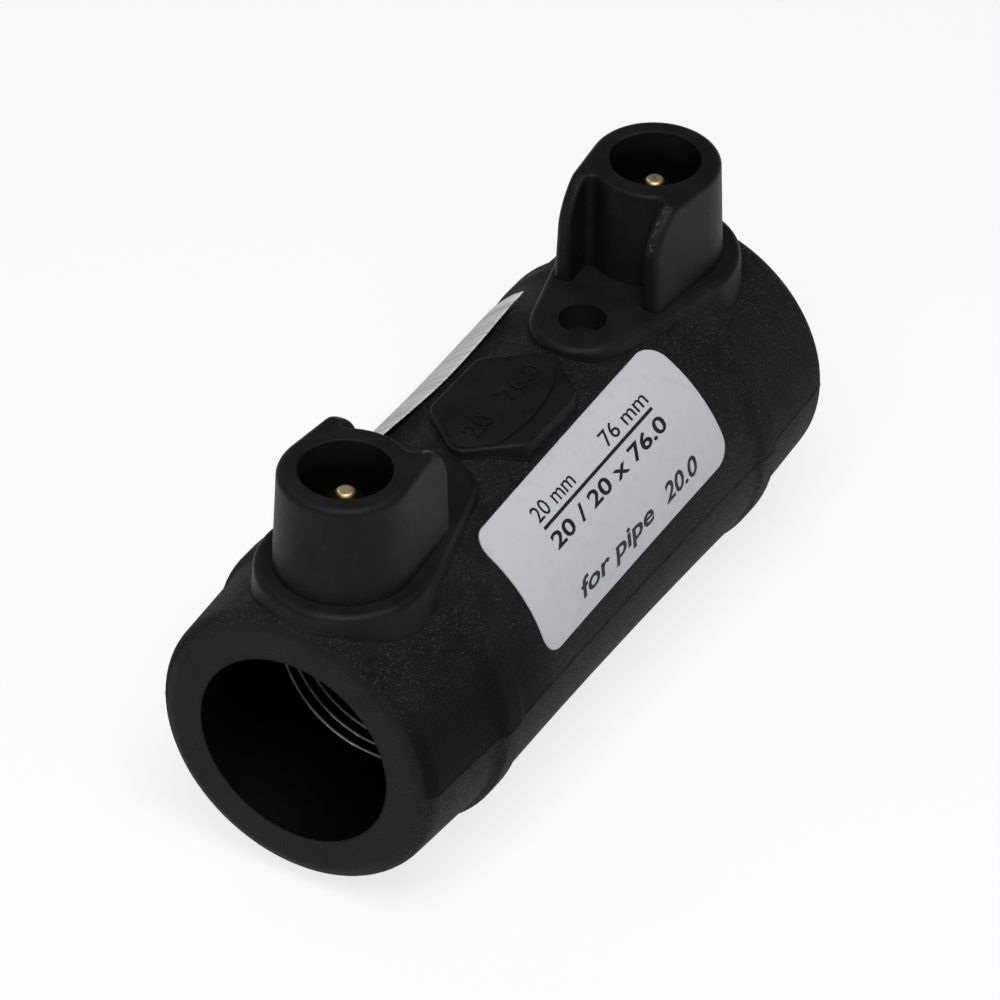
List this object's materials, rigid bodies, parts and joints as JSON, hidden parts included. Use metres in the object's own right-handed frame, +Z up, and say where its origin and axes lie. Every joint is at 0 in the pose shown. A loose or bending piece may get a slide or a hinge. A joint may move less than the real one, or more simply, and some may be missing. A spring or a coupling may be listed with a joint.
{
  "type": "electrofusion coupler",
  "caption": "Short plastic sleeve that fuses two pipe ends together with a buried heating wire, with a shrouded terminal pin near each end.",
  "frame": {"origin": "middle of the bore, on its axis and midway between the two end faces", "axes": "+X along the bore towards the rear end, +Z up with the terminals on top, -Y the side with the size label"},
  "size_m": [0.076, 0.0322, 0.0432],
  "materials": {
    "black_polyethylene": "fine matte grain, satin on the terminal shrouds",
    "resistance_wire": "drawn bright wire",
    "terminal_brass": "turned",
    "indicator_plastic": "matte",
    "label_paper": "matte, printed black"
  },
  "bodies": {
    "root": {"coupler_body": "black_polyethylene", "heating_wire": "resistance_wire", "terminal_pin_front": "terminal_brass", "terminal_pin_rear": "terminal_brass", "indicator_pin_front": "indicator_plastic", "indicator_pin_rear": "indicator_plastic", "size_label": "label_paper", "bar_label": "label_paper"}
  },
  "joints": []
}
